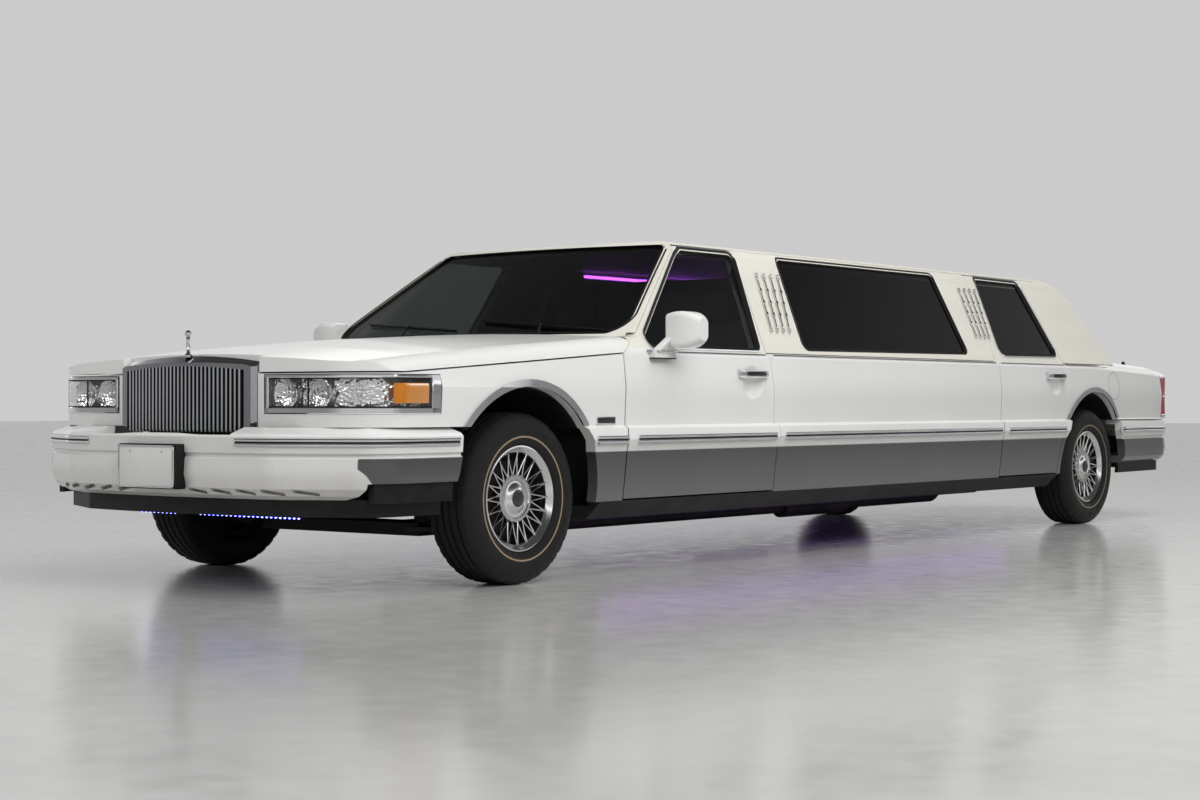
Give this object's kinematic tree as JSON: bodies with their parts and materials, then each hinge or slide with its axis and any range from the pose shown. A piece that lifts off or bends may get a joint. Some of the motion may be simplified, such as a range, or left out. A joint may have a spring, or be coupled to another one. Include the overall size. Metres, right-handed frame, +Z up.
{
  "type": "stretch limousine saloon",
  "caption": "White stretch limousine saloon with a cream padded roof, opening doors, hood and trunk lid, steering front wheels and rolling wheels.",
  "frame": {"origin": "on the ground, below the middle of the whole car", "axes": "+X forward, +Y to the car's left, +Z up"},
  "size_m": [7.7188, 2.244, 1.446],
  "materials": {
    "white_paint": "gloss",
    "cream_vinyl": "grained",
    "tinted_glass": "tinted",
    "chrome": "polished",
    "polished_alloy": "polished",
    "tyre_rubber": "matte",
    "black_plastic": "matte",
    "clear_lamp": "clear",
    "red_lamp": "clear",
    "chassis_steel": "satin",
    "underbody": "matte",
    "seat_leather": "soft",
    "cabinet_wood": "gloss"
  },
  "bodies": {
    "car": {"bar_console": "cabinet_wood", "body_trim": "chrome", "centre_side_panels": "white_paint", "cowl": "black_plastic", "dashboard": "black_plastic", "driveline": "chassis_steel", "engine": "chassis_steel", "exhaust": "chassis_steel", "floor_pan": "underbody", "frame": "chassis_steel", "front_bumper": "white_paint", "front_fenders": "white_paint", "front_seats": "seat_leather", "front_suspension": "chassis_steel", "fuel_tank": "chassis_steel", "grille": "chrome", "headlamps": "clear_lamp", "lamp_housings": "black_plastic", "partition": "cabinet_wood", "plate_bracket": "black_plastic", "rear_axle": "chassis_steel", "rear_body": "white_paint", "rear_bumper": "white_paint", "rear_seats": "seat_leather", "rear_window": "tinted_glass", "roof": "cream_vinyl", "side_windows": "tinted_glass", "steering_wheel": "black_plastic", "taillamps": "red_lamp", "valances": "black_plastic", "wheel_liners": "black_plastic", "windshield": "tinted_glass"},
    "front_door_left": {"front_door_left": "white_paint", "front_door_glass_left": "tinted_glass"},
    "front_door_right": {"front_door_right": "white_paint", "front_door_glass_right": "tinted_glass"},
    "rear_door_left": {"rear_door_left": "white_paint", "rear_door_glass_left": "tinted_glass"},
    "rear_door_right": {"rear_door_right": "white_paint", "rear_door_glass_right": "tinted_glass"},
    "hood": {"hood": "white_paint"},
    "trunk_lid": {"trunk_lid": "white_paint"},
    "knuckle_left": {"knuckle_left": "chassis_steel"},
    "knuckle_right": {"knuckle_right": "chassis_steel"},
    "wheel_front_left": {"rim_front_left": "polished_alloy", "tyre_front_left": "tyre_rubber"},
    "wheel_front_right": {"rim_front_right": "polished_alloy", "tyre_front_right": "tyre_rubber"},
    "wheel_rear_left": {"rim_rear_left": "polished_alloy", "tyre_rear_left": "tyre_rubber"},
    "wheel_rear_right": {"rim_rear_right": "polished_alloy", "tyre_rear_right": "tyre_rubber"}
  },
  "joints": [
    {"name": "steer_left", "type": "hinge", "parent": "car", "child": "knuckle_left", "pos_m": [2.7595, 0.7, 0.332], "axis": [0, 0, 1], "range_deg": [-32, 32]},
    {"name": "steer_right", "type": "hinge", "parent": "car", "child": "knuckle_right", "pos_m": [2.7595, -0.7, 0.332], "axis": [0, 0, 1], "range_deg": [-32, 32]},
    {"name": "roll_front_left", "type": "hinge", "parent": "knuckle_left", "child": "wheel_front_left", "pos_m": [2.7595, 0.7975, 0.332], "axis": [0, 1, 0], "continuous": true},
    {"name": "roll_rear_left", "type": "hinge", "parent": "car", "child": "wheel_rear_left", "pos_m": [-2.3815, 0.804, 0.332], "axis": [0, 1, 0], "continuous": true},
    {"name": "roll_front_right", "type": "hinge", "parent": "knuckle_right", "child": "wheel_front_right", "pos_m": [2.7595, -0.7975, 0.332], "axis": [0, 1, 0], "continuous": true},
    {"name": "roll_rear_right", "type": "hinge", "parent": "car", "child": "wheel_rear_right", "pos_m": [-2.3815, -0.804, 0.332], "axis": [0, 1, 0], "continuous": true},
    {"name": "open_front_door_left", "type": "hinge", "parent": "car", "child": "front_door_left", "pos_m": [2.22158, 0.93, 0.605], "axis": [0, 0, -1], "range_deg": [0, 60]},
    {"name": "open_front_door_right", "type": "hinge", "parent": "car", "child": "front_door_right", "pos_m": [2.22158, -0.93, 0.605], "axis": [0, 0, 1], "range_deg": [0, 60]},
    {"name": "open_rear_door_left", "type": "hinge", "parent": "car", "child": "rear_door_left", "pos_m": [-1.12792, 0.93, 0.605], "axis": [0, 0, -1], "range_deg": [0, 60]},
    {"name": "open_rear_door_right", "type": "hinge", "parent": "car", "child": "rear_door_right", "pos_m": [-1.12792, -0.93, 0.605], "axis": [0, 0, 1], "range_deg": [0, 60]},
    {"name": "open_hood", "type": "hinge", "parent": "car", "child": "hood", "pos_m": [2.108, 0, 0.968], "axis": [0, -1, 0], "range_deg": [0, 50]},
    {"name": "open_trunk_lid", "type": "hinge", "parent": "car", "child": "trunk_lid", "pos_m": [-2.79, 0, 0.947], "axis": [0, 1, 0], "range_deg": [0, 75]}
  ],
  "couplings": [
    {"joint": "steer_right", "follows": "steer_left", "ratio": 1}
  ]
}
